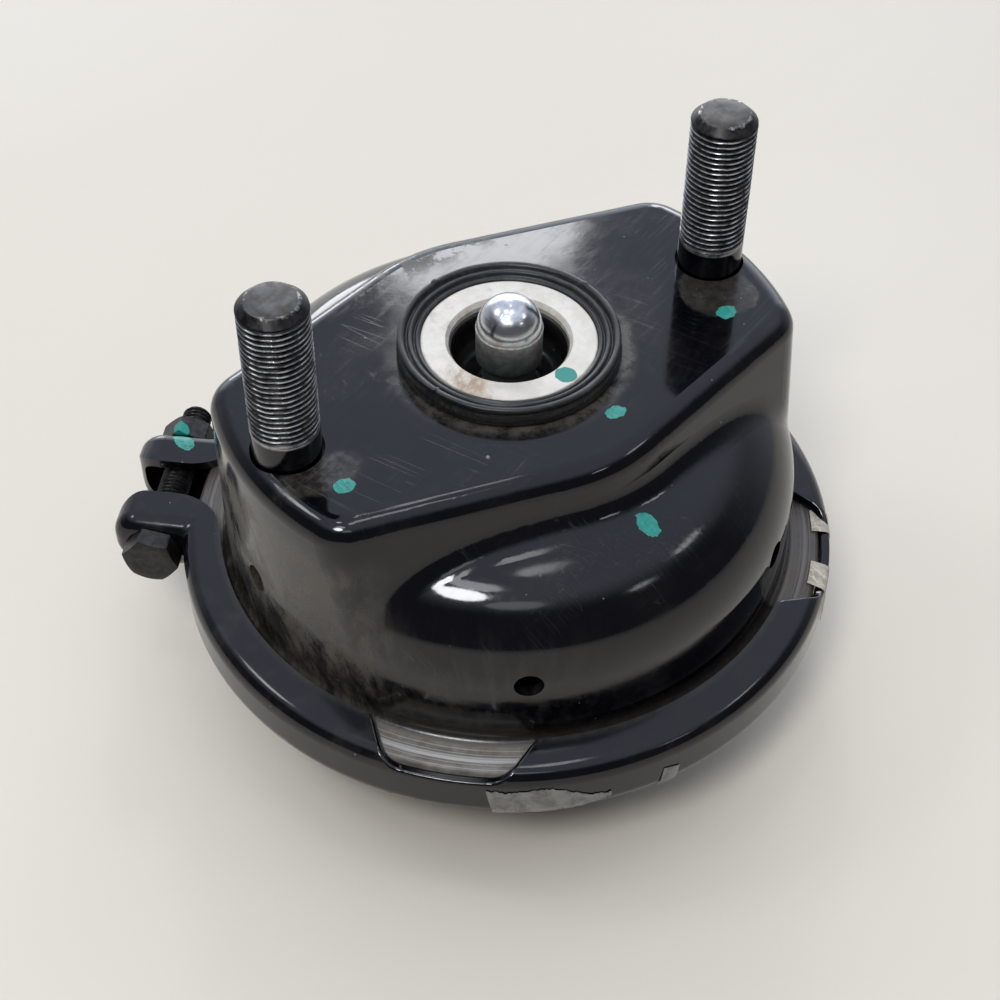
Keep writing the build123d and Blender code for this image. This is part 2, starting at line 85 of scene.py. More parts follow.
class Graph:
    """One material's nodes. Lengths are millimetres in the object's own frame."""

    def __init__(self, name):
        self.material = bpy.data.materials.new(name)
        self.material.use_nodes = True
        self.tree = self.material.node_tree
        self.shader = self.tree.nodes["Principled BSDF"]
        coords = self.tree.nodes.new("ShaderNodeTexCoord")
        self.point = self.vector("SCALE", coords.outputs["Object"], 1 / MM)
        split = self.tree.nodes.new("ShaderNodeSeparateXYZ")
        self.tree.links.new(self.point, split.inputs[0])
        self.x, self.y, self.z = split.outputs
        squares = [self.math("MULTIPLY", axis, axis) for axis in (self.x, self.y)]
        self.radius = self.math("SQRT", self.math("ADD", *squares))

    def put(self, socket, value):
        if isinstance(value, bpy.types.NodeSocket):
            self.tree.links.new(value, socket)
        else:
            socket.default_value = value

    def set(self, **values):
        """Puts values on the shader's sockets, named as in base_color."""
        for name, value in values.items():
            value = (*value, 1.0) if isinstance(value, tuple) and name == "base_color" else value
            self.put(self.shader.inputs[name.replace("_", " ").title().replace("Ior", "IOR")], value)

    def vector(self, operation, a, b):
        node = self.tree.nodes.new("ShaderNodeVectorMath")
        node.operation = operation
        self.put(node.inputs[0], a)
        self.put(node.inputs["Scale"] if operation == "SCALE" else node.inputs[1], b)
        return node.outputs["Value" if operation in ("LENGTH", "DOT_PRODUCT") else "Vector"]

    def math(self, operation, a, b=0.0, clamp=False):
        node = self.tree.nodes.new("ShaderNodeMath")
        node.operation = operation
        node.use_clamp = clamp
        self.put(node.inputs[0], a)
        self.put(node.inputs[1], b)
        return node.outputs[0]

    def step(self, value, low, high, start=0.0, end=1.0):
        """Eases from start at low to end at high."""
        node = self.tree.nodes.new("ShaderNodeMapRange")
        node.interpolation_type = "SMOOTHSTEP"
        if low > high:
            low, high, start, end = high, low, end, start
        for socket, item in zip(node.inputs, (value, low, high, start, end)):
            self.put(socket, item)
        return node.outputs[0]

    def along(self, direction, length, width, shift=0.0):
        """Coordinates in which noise makes features of a length along a direction and a width across it."""
        ahead = Vector(direction).normalized()
        aside = ahead.orthogonal().normalized()
        axes = (ahead, aside, ahead.cross(aside))
        node = self.tree.nodes.new("ShaderNodeCombineXYZ")
        for socket, axis, size in zip(node.inputs, axes, (length, width, width)):
            reach = self.vector("DOT_PRODUCT", self.point, tuple(axis / size))
            self.put(socket, self.math("ADD", reach, shift))
        return node.outputs[0]

    def noise(self, size=1.0, detail=3.0, rough=0.55, stretch=(1, 1, 1), shift=0.0, coords=None):
        """Fractal noise whose features are size across; stretch makes them longer along an axis."""
        if coords is None:
            coords = self.vector("MULTIPLY", self.point, tuple(1 / (size * s) for s in stretch))
            coords = self.vector("ADD", coords, (shift, shift * 0.7, shift * 1.3))
        node = self.tree.nodes.new("ShaderNodeTexNoise")
        self.put(node.inputs["Vector"], coords)
        node.inputs["Scale"].default_value = 1.0
        node.inputs["Detail"].default_value = detail
        node.inputs["Roughness"].default_value = rough
        return node.outputs["Fac"]

    def specks(self, size, radius, shift=0.0):
        """Small dots, about one for each cell of the size, each up to the radius."""
        node = self.tree.nodes.new("ShaderNodeTexVoronoi")
        self.put(node.inputs["Vector"], self.vector("ADD", self.point, (shift, shift, shift)))
        node.inputs["Scale"].default_value = 1 / size
        chance = self.tree.nodes.new("ShaderNodeSeparateColor")
        self.tree.links.new(node.outputs["Color"], chance.inputs[0])
        reach = self.math("MULTIPLY", self.step(chance.outputs[0], 0.5, 1.0), radius / size)
        return self.step(self.math("SUBTRACT", node.outputs["Distance"], reach), 0.02, -0.02)

    def hairs(self, direction, length, spacing, width, shift, patch=24):
        """Nearly straight hairline scratches along a direction, here and there."""
        lie = self.noise(detail=0.6, rough=0.4, coords=self.along(direction, length, spacing, shift))
        away = self.math("ABSOLUTE", self.math("SUBTRACT", lie, 0.5))
        here = self.step(self.noise(patch, 2, shift=shift + 3), 0.50, 0.62)
        return self.both(self.step(away, width, width * 0.3), here)

    def near(self, centre, radii, soft=0.3, ragged=0.0, grain=2.0):
        """1 inside an ellipsoid and 0 outside, with a soft and ragged edge."""
        offset = self.vector("SUBTRACT", self.point, centre)
        reach = self.vector("LENGTH", self.vector("MULTIPLY", offset, tuple(1 / r for r in radii)), (0, 0, 0))
        if ragged:
            wobble = self.math("MULTIPLY", self.math("SUBTRACT", self.noise(grain, 3), 0.5), ragged)
            reach = self.math("ADD", reach, wobble)
        return self.step(reach, 1.0 + soft / 2, 1.0 - soft / 2)

    def both(self, *masks):
        """The product of masks and numbers."""
        result = masks[0]
        for mask in masks[1:]:
            result = self.math("MULTIPLY", result, mask)
        return result

    def either(self, *masks):
        """The highest of masks."""
        result = masks[0]
        for mask in masks[1:]:
            result = self.math("MAXIMUM", result, mask)
        return result

    def blend(self, amount, a, b):
        """a where amount is 0 and b where it is 1: colours as 3-tuples or sockets, or numbers."""
        node = self.tree.nodes.new("ShaderNodeMix")
        colours = any(isinstance(v, tuple) or getattr(v, "type", "") == "RGBA" for v in (a, b))
        node.data_type = "RGBA" if colours else "FLOAT"
        sockets = [s for s in node.inputs if s.enabled]
        self.put(sockets[0], amount)
        for socket, value in zip(sockets[1:], (a, b)):
            self.put(socket, (*value, 1.0) if isinstance(value, tuple) else value)
        return next(s for s in node.outputs if s.enabled)

    def bump(self, *layers):
        """Layers of (height, depth in mm), each stacked on the last."""
        normal = None
        for height, depth in layers:
            node = self.tree.nodes.new("ShaderNodeBump")
            node.inputs["Distance"].default_value = depth * MM
            self.put(node.inputs["Height"], height)
            if normal is not None:
                self.tree.links.new(normal, node.inputs["Normal"])
            normal = node.outputs["Normal"]
        self.tree.links.new(normal, self.shader.inputs["Normal"])


BLACK_PAINT = (0.0012, 0.0013, 0.0028)
SCUFFED_PAINT = (0.030, 0.030, 0.036)
SCRATCHED_PAINT = (0.085, 0.085, 0.090)
DUST = (0.150, 0.130, 0.100)
PALE_DUST = (0.26, 0.25, 0.23)
TEAL = (0.010, 0.235, 0.190)
TEAL_WORN = (0.020, 0.300, 0.250)


def enamel(name, dust=None, marks=(), gloss=0.07, extra=None):
    """Glossy black enamel, handled: wiped film, hairlines, scuffs, specks, and dust where its mask says."""
    g = Graph(name)
    cloud = g.step(g.noise(24, 5, 0.62), 0.42, 0.70)
    wiped = g.step(g.noise(detail=4, rough=0.6, coords=g.along((0.9, 0.35, 0.1), 14, 1.5)), 0.46, 0.74)
    fine = g.noise(2.2, 4, 0.6, shift=3)
    along_face = g.hairs((1, 0.35, 0), 160, 2.4, 0.010, 1.7)
    across_face = g.hairs((-0.5, 1, 0), 130, 2.8, 0.007, 6.1)
    down_shoulder = g.both(g.hairs((0.35, -0.75, -0.75), 70, 1.5, 0.012, 12.4), g.step(g.z, -50, -44))
    hair = g.blend(g.step(g.z, -1, -5), g.either(along_face, across_face), down_shoulder)
    scuff = g.step(g.noise(4.5, 6, 0.72, (1, 2.2, 1), 21), 0.60, 0.70)
    scuff = g.both(scuff, g.step(g.noise(30, 2, shift=30), 0.52, 0.68))
    specks = g.either(g.specks(4.6, 0.26, 2.0), g.specks(9.5, 0.45, 5.0))
    film = g.math("ADD", g.math("MULTIPLY", g.both(cloud, wiped), 0.035), g.math("MULTIPLY", cloud, 0.013))
    if dust is not None:
        film = g.either(film, dust(g, fine))
    colour = g.blend(g.math("MULTIPLY", scuff, 0.5), BLACK_PAINT, SCUFFED_PAINT)
    colour = g.blend(g.math("MULTIPLY", hair, 0.17), colour, SCRATCHED_PAINT)
    colour = g.blend(film, colour, DUST)
    colour = g.blend(g.math("MULTIPLY", specks, 0.6), colour, PALE_DUST)
    rough = g.math("ADD", g.math("MULTIPLY", cloud, 0.05), gloss)
    rough = g.math("ADD", rough, g.math("MULTIPLY", wiped, 0.04))
    rough = g.math("ADD", rough, g.math("MULTIPLY", g.either(scuff, g.math("MULTIPLY", hair, 0.3)), 0.20))
    rough = g.math("ADD", rough, g.math("MULTIPLY", film, 0.75), clamp=True)
    grains = g.both(film, g.noise(0.7, 3, 0.7))
    layers = [(g.noise(7.5, 3, 0.5, shift=8), 0.016), (g.noise(0.9, 2, 0.5), 0.0018),
              (g.math("MULTIPLY", hair, -1.0), 0.002), (specks, 0.04), (grains, 0.03)]
    if extra is not None:
        colour, rough, more = extra(g, colour, rough)
        layers += more
    if marks:
        mark = g.either(*[g.near(centre, radii, 0.08, 0.75, 1.9) for centre, radii in marks])
        crack = g.hairs((1, 0.4, 0), 5, 0.9, 0.03, 4, 3)
        colour = g.blend(mark, colour, g.blend(g.step(g.noise(1.3, 3, shift=2), 0.35, 0.7), TEAL, TEAL_WORN))
        colour = g.blend(g.both(mark, crack, 0.6), colour, BLACK_PAINT)
        rough = g.blend(mark, rough, 0.38)
        layers.append((g.both(mark, g.step(g.noise(0.9, 3, 0.6, (1, 3, 1)), 0.2, 0.8)), 0.10))
    g.set(base_color=colour, roughness=rough, specular_ior_level=0.5)
    g.bump(*layers)
    return g.material


def housing_dust(g, fine):
    """Dust on the front housing: its left end wall, round the seal, beside the studs, at the flange."""
    swirl = g.step(g.noise(9, 5, 0.62, (1, 1, 2.0), 11), 0.34, 0.66)
    streak = g.step(g.noise(detail=5, rough=0.62, coords=g.along((0.25, 0.55, 1), 22, 3.0, 5)), 0.38, 0.70)
    smeared = g.math("ADD", g.math("MULTIPLY", swirl, 0.30), g.math("MULTIPLY", streak, 0.22))
    left_end = g.both(g.step(g.x, -52, -66), g.step(g.z, -7, -16), g.step(g.y, 45, 15), smeared)
    low_left = g.both(g.step(g.x, 0, -50), g.step(g.z, -16, -40), g.step(g.radius, 62, 71), streak, 0.13)
    foot = g.both(g.step(g.z, -52, -58), g.math("ADD", g.math("MULTIPLY", fine, 0.22), 0.04))
    ring = g.both(g.step(g.radius, 32.0, 27.3), g.step(g.z, -1.0, -0.2),
                  g.step(g.noise(3.5, 5, 0.65, shift=6), 0.22, 0.74), g.step(g.y, 18, -14, 0.06, 0.50))
    left_patch = g.near((-58.5, -11.5, 0), (10.5, 5.0, 9), 0.5, 0.6, 5)
    left_patch = g.both(left_patch, g.step(fine, 0.3, 0.7, 0.06, 0.26))
    right_patch = g.near((54.5, -10.5, 0), (9.5, 10.0, 9), 0.12, 0.6, 7)
    right_patch = g.both(right_patch, g.step(fine, 0.3, 0.7, 0.12, 0.22))
    back_edge = g.both(g.step(g.y, 31, 42), g.step(g.z, -7, -1),
                       g.step(g.noise(5, 5, 0.65, shift=3), 0.44, 0.60), 0.40)
    flange = g.both(g.step(g.radius, 73.2, 74.2), g.step(g.z, -56, -58), 0.92)
    return g.either(left_end, low_left, foot, ring, left_patch, right_patch, back_edge, flange)


def bare_flange(g, colour, rough):
    """The flange in the band's windows: turned steel under tan grime, its ridge and turning lines painted
    lighter (rubbed, and a painted highlight), painted shade towards +X and +Y; fine wipe marks on the
    shoulder.
    """
    on = g.both(g.step(g.radius, 74.0, 74.8), g.step(g.z, -56.0, -58.0))
    turned = g.step(g.math("SINE", g.math("MULTIPLY", g.radius, 5.2)), 0.35, 0.95)
    ridge = g.both(g.step(g.radius, 76.6, 77.2), g.step(g.radius, 78.6, 77.8))
    grime = g.step(g.noise(5, 5, 0.65, (1, 1, 1), 40), 0.35, 0.65)
    steel = g.blend(grime, (0.105, 0.090, 0.068), (0.185, 0.172, 0.150))
    # the ridge and the turning lines are painted lighter: rubbed steel, and partly a painted highlight
    steel = g.blend(g.either(ridge, g.both(turned, 0.35)), steel, (0.33, 0.32, 0.30))
    # painted shade: the flange's steel is darkened towards +X and +Y
    shaded_side = g.either(g.step(g.x, 20, 45, 0.0, 0.75), g.step(g.y, 5, 30, 0.0, 0.75))
    steel = g.blend(shaded_side, steel, (0.050, 0.040, 0.032))
    wipes = g.noise(detail=3, rough=0.6, coords=g.along((0.35, -0.75, -0.75), 11, 0.9, 2))
    wiped = g.both(g.step(g.z, -12, -18), g.step(g.z, -40, -32), g.step(g.y, -38, -50), g.step(g.x, -14, 6),
                   g.step(g.noise(14, 2, shift=5), 0.40, 0.58))
    layers = [(g.both(on, ridge), 0.25), (g.both(on, turned), 0.05), (g.both(wiped, wipes), 0.012)]
    rough = g.math("ADD", rough, g.both(wiped, g.step(wipes, 0.45, 0.65), 0.10))
    return g.blend(on, colour, steel), g.blend(on, rough, 0.36), layers


def band_dust(g, fine):
    """Light dust on the band's lips, thicker by the split."""
    lip = g.both(g.step(g.radius, 76, 74.2), g.step(g.z, -60, -57), g.math("MULTIPLY", fine, 0.22))
    left = g.both(g.step(g.x, -50, -75), g.step(g.noise(8, 5, 0.6, shift=2), 0.45, 0.75), 0.10)
    return g.either(lip, left)


def rear_dust(g, fine):
    """Road dust on the rear housing, thicker low down."""
    low = g.both(g.step(g.z, -84, -100), g.math("MULTIPLY", fine, 0.35))
    return g.either(low, g.both(g.step(g.noise(18, 5, 0.6, shift=5), 0.45, 0.7), 0.14))


def phosphated(name, marks=()):
    """Dark phosphated steel, finely mottled; returns its graph, colour, roughness and bumps to go on with."""
    g = Graph(name)
    mottled = g.noise(1.6, 5, 0.65)
    colour = g.blend(g.step(mottled, 0.35, 0.7), (0.010, 0.0095, 0.010), (0.036, 0.034, 0.033))
    rough = g.step(mottled, 0.3, 0.7, 0.30, 0.46)
    layers = [(mottled, 0.02), (g.noise(0.5, 3, 0.6, shift=6), 0.008)]
    if marks:
        mark = g.either(*[g.near(centre, radii, 0.12, 0.7, 1.6) for centre, radii in marks])
        colour = g.blend(mark, colour, TEAL)
        rough = g.blend(mark, rough, 0.4)
        layers.append((mark, 0.08))
    return g, colour, rough, layers


def bolt_finish(name, marks=()):
    g, colour, rough, layers = phosphated(name, marks)
    g.set(base_color=colour, metallic=0.5, roughness=rough)
    g.bump(*layers)
    return g.material


def stud_finish(name, centre_x):
    """Phosphated stud: thread crests painted lighter (rubbed, and partly a painted highlight), a worn grey
    end with a chipped bright rim, a painted shank.
    """
    g, colour, rough, layers = phosphated(name)
    offset = g.vector("MULTIPLY", g.vector("SUBTRACT", g.point, (centre_x, 0, 0)), (1, 1, 0))
    away = g.vector("LENGTH", offset, (0, 0, 0))
    # the thread crests are painted lighter: rubbed steel, and partly a painted highlight
    crest = g.both(g.step(away, 7.70, 7.93), g.step(g.z, 41.4, 40.8),
                   g.step(g.noise(2.5, 4, 0.6, shift=4), 0.28, 0.62))
    colour = g.blend(g.both(crest, 0.9), colour, (0.42, 0.415, 0.42))
    rough = g.blend(crest, rough, 0.24)
    end = g.step(g.z, STUD_TOP - 0.25, STUD_TOP - 0.06)
    patchy = g.step(g.noise(3.2, 5, 0.6, shift=9), 0.35, 0.7)
    worn = g.blend(patchy, (0.060, 0.053, 0.046), (0.120, 0.115, 0.109))
    chipped = g.both(g.step(away, 5.45, 5.75), g.step(g.z, STUD_TOP - 0.55, STUD_TOP - 0.2),
                     g.step(g.noise(1.5, 4, 0.7, shift=7), 0.50, 0.64))
    colour = g.blend(chipped, g.blend(end, colour, worn), (0.34, 0.33, 0.32))
    rough = g.blend(chipped, g.blend(end, rough, 0.44), 0.26)
    shank = g.step(g.z, THREAD_START, THREAD_START - 0.8)
    colour = g.blend(shank, colour, BLACK_PAINT)
    rough = g.blend(shank, rough, 0.10)
    g.set(base_color=colour, metallic=g.blend(shank, 0.75, 0.0), roughness=rough)
    g.bump(*layers)
    return g.material


def zinc_head():
    """Zinc-plated rod end: polished dome over a dull, speckled side, with a stain and a smear of paint."""
    g = Graph("zinc_head")
    brushed = g.noise(0.8, 4, 0.6, (6, 6, 0.6))
    dome = g.step(g.z, 6.9, 7.3)
    side = g.blend(g.step(g.noise(2.2, 5, 0.6), 0.35, 0.7), (0.27, 0.27, 0.265), (0.44, 0.44, 0.43))
    polished = g.blend(g.step(brushed, 0.3, 0.7), (0.58, 0.59, 0.61), (0.76, 0.77, 0.79))
    colour = g.blend(dome, side, polished)
    specks = g.both(g.either(g.specks(1.5, 0.22), g.specks(2.6, 0.34, 3)), g.step(g.z, 7.4, 6.6))
    colour = g.blend(g.both(specks, 0.8), colour, (0.05, 0.05, 0.05))
    stain = g.near((7.0, -3.9, 4.6), (1.0, 1.0, 1.5), 0.3, 0.4, 1.0)
    colour = g.blend(stain, colour, (0.012, 0.035, 0.035))
    smear = g.both(g.near((5.1, -6.2, 6.2), (1.5, 1.2, 0.8), 0.8, 0.8, 1.0), 0.55)
    colour = g.blend(smear, colour, (0.03, 0.26, 0.22))
    rough = g.math("ADD", g.blend(dome, 0.36, 0.15), g.math("MULTIPLY", g.noise(1.8, 4, 0.6, shift=3), 0.10))
    g.set(base_color=colour, metallic=g.blend(dome, 0.8, 1.0), roughness=rough)
    scratches = g.hairs((1, 0.5, 0.2), 6, 1.2, 0.03, 5, 5)
    g.bump((g.noise(2.6, 3, 0.5, shift=2), 0.04), (brushed, 0.010), (scratches, 0.008), (specks, 0.02))
    return g.material


def grease():
    g = Graph("grease")
    tone = g.blend(g.step(g.noise(0.9, 4, 0.6), 0.35, 0.7), (0.34, 0.33, 0.28), (0.58, 0.57, 0.51))
    g.set(base_color=tone, roughness=0.38)
    g.bump((g.noise(0.6, 3, 0.6), 0.06))
    return g.material


def ivory():
    """Ivory plastic, stained brown on one side, yellowed at its edges, with one mark of paint."""
    g = Graph("ivory_plastic")
    cloudy = g.noise(5, 4, 0.6)
    colour = g.blend(g.step(cloudy, 0.3, 0.7), (0.59, 0.55, 0.475), (0.73, 0.69, 0.62))
    edge = g.either(g.step(g.radius, 15.7, 14.6), g.step(g.radius, 20.3, 21.0))
    colour = g.blend(g.both(edge, g.step(g.noise(3, 4, shift=5), 0.3, 0.7), 0.6), colour, (0.40, 0.33, 0.22))
    streaks = g.step(g.noise(detail=5, rough=0.7, coords=g.along((0.8, 0.6, 0), 5, 2.4, 3)), 0.30, 0.66)
    brown = g.both(g.near((-16.6, -8.3, 3), (3.6, 7.4, 4), 0.9, 0.9, 2.2), streaks)
    colour = g.blend(g.both(brown, 0.9), colour, (0.30, 0.185, 0.085))
    grey = g.both(g.step(g.noise(4.2, 5, 0.7, shift=8), 0.52, 0.72), g.step(g.y, -12, 10), 0.45)
    colour = g.blend(grey, colour, (0.32, 0.295, 0.25))
    mark = g.near((4.1, -17.6, 3.1), (2.5, 2.7, 3), 0.08, 0.40, 1.6)
    colour = g.blend(mark, colour, TEAL)
    g.set(base_color=colour, roughness=g.blend(mark, g.step(cloudy, 0.3, 0.7, 0.28, 0.42), 0.42),
          subsurface_weight=0.15, subsurface_scale=0.002)
    turning = g.math("SINE", g.math("MULTIPLY", g.radius, 14.0))
    g.bump((g.noise(2.4, 4, 0.6), 0.03), (turning, 0.003), (mark, 0.09), (brown, 0.015))
    return g.material


def rubber(name, tone=(0.006, 0.006, 0.0065), roughness=0.42, dusty=0.3):
    """Black rubber with pale dust held in its grooves and on its ribs."""
    g = Graph(name)
    fine = g.noise(1.1, 5, 0.7)
    rings = g.noise(detail=4, rough=0.6, coords=g.vector("MULTIPLY", g.point, (0.12, 0.12, 2.0)))
    film = g.both(g.step(rings, 0.36, 0.66), g.step(fine, 0.34, 0.66), dusty * 0.5)
    colour = g.blend(film, tone, (0.15, 0.135, 0.115))
    specks = g.specks(2.4, 0.14, 4)
    colour = g.blend(g.both(specks, 0.7), colour, (0.35, 0.34, 0.32))
    rough = g.math("ADD", g.math("MULTIPLY", fine, 0.2), roughness - 0.08)
    g.set(base_color=colour, roughness=rough, specular_ior_level=0.5)
    g.bump((fine, 0.025), (g.noise(0.35, 2, 0.5), 0.008), (specks, 0.04))
    return g.material


def steel(name, tone=(0.32, 0.32, 0.33), roughness=0.38):
    g = Graph(name)
    mottled = g.noise(4, 5, 0.6)
    g.set(base_color=g.blend(g.step(mottled, 0.3, 0.7), tone, tuple(c * 0.7 for c in tone)), metallic=0.9,
          roughness=g.step(mottled, 0.3, 0.7, roughness - 0.06, roughness + 0.1))
    g.bump((g.noise(1.2, 4, 0.6), 0.012))
    return g.material


def tape(name, tone, shade, roughness):
    """Worn adhesive tape or film: creased, grubby."""
    g = Graph(name)
    crease = g.either(g.hairs((1, 0.6, 0.5), 9, 1.6, 0.03, 3, 6), g.hairs((-0.4, 1, 0.8), 7, 1.9, 0.03, 8, 6))
    patch = g.step(g.noise(3.2, 5, 0.65, shift=5), 0.38, 0.62)
    colour = g.blend(patch, tone, shade)
    colour = g.blend(g.both(crease, 0.6), colour, tuple(min(1.0, c * 1.5) for c in tone))
    g.set(base_color=colour, roughness=g.math("ADD", g.math("MULTIPLY", patch, 0.2), roughness))
    g.bump((g.noise(3, 4, 0.6), 0.12), (crease, 0.08))
    return g.material


def paint_node(name, material):
    """Gives a CAD node's slots the material."""
    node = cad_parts[name]
    if not node.material_slots:
        node.data.materials.append(material)
    for item in node.material_slots:
        item.material = material


# Mesh builders: points in millimetres -----------------------------------------------------------


def piece(name, points, faces, material, body, replaces=(), smooth_angle=40):
    """A mesh object from millimetre points, given its finish and its body, if it rides on one alone."""
    data = bpy.data.meshes.new(name)
    data.from_pydata([Vector(p) * MM for p in points], [], faces)
    data.validate()
    data.polygons.foreach_set("use_smooth", [True] * len(data.polygons))
    data.set_sharp_from_angle(angle=radians(smooth_angle))
    data.materials.append(material)
    thing = bpy.data.objects.new(name, data)
    bpy.context.scene.collection.objects.link(thing)
    if replaces:
        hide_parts(*replaces)
    if body:
        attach(thing, body)
    return thing


def grid_faces(rows, columns, wrap_rows=False, wrap_columns=True, flip=False):
    """Quads over rows by columns of points."""
    faces = []
    for i in range(rows if wrap_rows else rows - 1):
        for j in range(columns if wrap_columns else columns - 1):
            a, b = i * columns + j, i * columns + (j + 1) % columns
            c, d = ((i + 1) % rows) * columns + (j + 1) % columns, ((i + 1) % rows) * columns + j
            faces.append((a, d, c, b) if flip else (a, b, c, d))
    return faces


def capped(points, faces, rows, segments, low, high):
    """Closes both ends of a stack of rings with fans about two more points."""
    bottom, top, last = len(points), len(points) + 1, (rows - 1) * segments
    for j in range(segments):
        k = (j + 1) % segments
        faces += [(bottom, k, j), (top, last + j, last + k)]
    return points + [low, high], faces


def turned_solid(rows, segments, place=lambda p: p, radius_at=lambda index, radius, z, angle: radius):
    """A closed solid from (radius, z) rows, bottom to top, each a ring; radius_at may vary it by angle."""
    points = []
    for index, (radius, z) in enumerate(rows):
        for j in range(segments):
            angle = 2 * pi * j / segments
            reach = radius_at(index, radius, z, angle)
            points.append(place((reach * cos(angle), reach * sin(angle), z)))
    faces = grid_faces(len(rows), segments)
    return capped(points, faces, len(rows), segments, place((0, 0, rows[0][1])), place((0, 0, rows[-1][1])))


def round_corners(points, times=2):
    """Cuts a closed outline's corners, so that it reads as moulded."""
    for _ in range(times):
        cut = []
        for (r0, z0), (r1, z1) in zip(points, points[1:] + points[:1]):
            for share in (0.25, 0.75):
                cut.append((r0 * (1 - share) + r1 * share, z0 * (1 - share) + z1 * share))
        points = cut
    return points


def turned_ring(outline, segments, shape=lambda radius, z, angle: (radius, z)):
    """A ring with a closed (radius, z) outline; shape may move each point by angle."""
    points = []
    for radius, z in outline:
        for j in range(segments):
            angle = 2 * pi * j / segments
            r, h = shape(radius, z, angle)
            points.append((r * cos(angle), r * sin(angle), h))
    area = sum(a[0] * b[1] - b[0] * a[1] for a, b in zip(outline, outline[1:] + outline[:1]))
    return points, grid_faces(len(outline), segments, wrap_rows=True, flip=area < 0)


def thread_rows(start, end, pitch, steps=8):
    count = round((end - start) / pitch * steps)
    return [start + (end - start) * i / count for i in range(count + 1)]


def thread_cut(z, angle, pitch):
    """How far below the crest a thread is, from 0 to 1."""
    turn = (z / pitch - angle / (2 * pi)) % 1.0
    return min(max((abs(turn - 0.5) * 2 - 0.16) / 0.62, 0.0), 1.0)


# Studs ------------------------------------------------------------------------------------------


def stud(node, side):
    """M16 stud: pressed head and neck, plain painted shank, rolled thread, chamfered and rubbed end."""
    radius, depth, pitch, chamfer, head_flat = 8.0, 0.92, 1.5, 2.0, 7.2
    below = [(10.5, -10.3), (10.5, -6.8), (7.0, -6.75), (7.0, -2.85), (7.7, -2.75), (7.7, 0.0), (8.0, 0.06)]
    rows = below + [(radius, 3.0), (radius, 6.2)]
    first = len(rows)
    rows += [(radius, z) for z in thread_rows(6.8, STUD_TOP - 0.12, pitch)]
    last = len(rows) - 1
    rows += [(radius - chamfer - 0.12, STUD_TOP), (3.0, STUD_TOP - 0.06)]

    def radius_at(index, r, z, angle):
        if index < len(below) and r > 10 and cos(angle) * side > 0:
            return min(r, head_flat / max(cos(angle) * side, 1e-3))
        if first <= index <= last:
            cut = depth * thread_cut(z, angle, pitch) * smooth(z, THREAD_START - 0.6, THREAD_START + 1.6)
            cut *= smooth(z, 42.2, 41.0)
            wear = 0.05 * noise.noise(Vector((cos(angle) * 2, sin(angle) * 2, z * 0.8)))
            cone = radius - chamfer + (STUD_TOP - z) * 1.02
            return min(r - cut + wear * smooth(cut, 0.3, 0.0) - 0.03, cone + 0.02 * sin(7 * angle))
        if index == last + 1:
            return r + 0.09 * noise.noise(Vector((cos(angle) * 3, sin(angle) * 3, side)))
        return r

    points, faces = turned_solid(rows, 96, lambda p: (p[0] + side * STUD_X, p[1], p[2]), radius_at)
    name = node + "_threaded"
    finish = stud_finish(name, side * STUD_X)
    piece(name, points, faces, finish, "chamber", [node], 50)


stud("left_stud", -1)
stud("right_stud", 1)

# Clamp bolt and nut -----------------------------------------------------------------------------
HEX_FLAT = 6.5
HEX_CORNER = 7.44
HEX_EDGE = 0.12  # how far inside the flats a turned-off face ends
HEAD_TURN = radians(-12)
NUT_TURN = radians(-18)
HEX_TAPER = tan(radians(30))


def hex_rings(low, high, turn, hole, both_ends, segments=144):
    """Rings of a hexagonal head or nut with its corners turned off at the far end, or at both."""
    points = []
    for i in range(6):
        for j in range(segments):
            angle = 2 * pi * j / segments
            reach = min(HEX_FLAT / cos((angle - turn) % (pi / 3) - pi / 6), HEX_CORNER)
            drop = (reach - HEX_FLAT + HEX_EDGE) * HEX_TAPER
            near_end = (HEX_FLAT - HEX_EDGE, low), (reach, low + drop)
            if not both_ends:
                near_end = (reach - 0.1, low), (reach, low + 0.1)
            far_end = (reach, high - drop), (HEX_FLAT - HEX_EDGE, high)
            sunk_low, sunk_high = (0.5, 0.5) if both_ends else (0.0, 0.15)
            outline = ((hole, low + sunk_low), *near_end, *far_end, (hole, high - sunk_high))
            r, z = outline[i]
            points.append(across_band((r * cos(angle), r * sin(angle), z)))
    return points, segments


def clamp_bolt():
    """M8 x 50 hexagon bolt: chamfered head with a slight dish, thread up to near the head."""
    pitch, depth, tip, seat, top = 1.25, 0.72, -32.25, 17.75, 23.05
    thread = [(4.0, z) for z in thread_rows(tip + 0.12, 15.0, pitch)]
    rows = [(3.0, tip), *thread, (4.0, 15.6), (4.0, seat - 0.01)]
    last = len(rows) - 3

    def radius_at(index, r, z, angle):
        if 1 <= index <= last:
            return min(r - depth * thread_cut(z, angle, pitch) * smooth(z, 15.0, 12.5), 3.0 + z - tip)
        return r

    shank, faces = turned_solid(rows, 56, across_band, radius_at)
    points, segments = hex_rings(seat, top, HEAD_TURN, hole=4.6, both_ends=False)
    ends = across_band((0, 0, seat)), across_band((0, 0, top - 0.17))
    points, more = capped(points, grid_faces(6, segments), 6, segments, *ends)
    faces += [tuple(v + len(shank) for v in face) for face in more]
    points, finish = shank + points, bolt_finish("clamp_bolt_steel")
    piece("clamp_bolt_threaded", points, faces, finish, "chamber", ["clamp_bolt"], 35)


def clamp_nut():
    """M8 hexagon nut, both faces chamfered, with the inspector's paint on it."""
    low, seat = -24.55, -17.75
    points, segments = hex_rings(low, seat, NUT_TURN, hole=4.08, both_ends=True)
    faces = grid_faces(6, segments, wrap_rows=True)
    finish = bolt_finish("clamp_nut_steel", [((-56.7, 74.2, -57.7), (2.0, 3.1, 1.9))])
    piece("clamp_nut_turned", points, faces, finish, "chamber", ["clamp_nut"], 35)


clamp_bolt()
clamp_nut()

# Seal, boot and rod end -------------------------------------------------------------------------


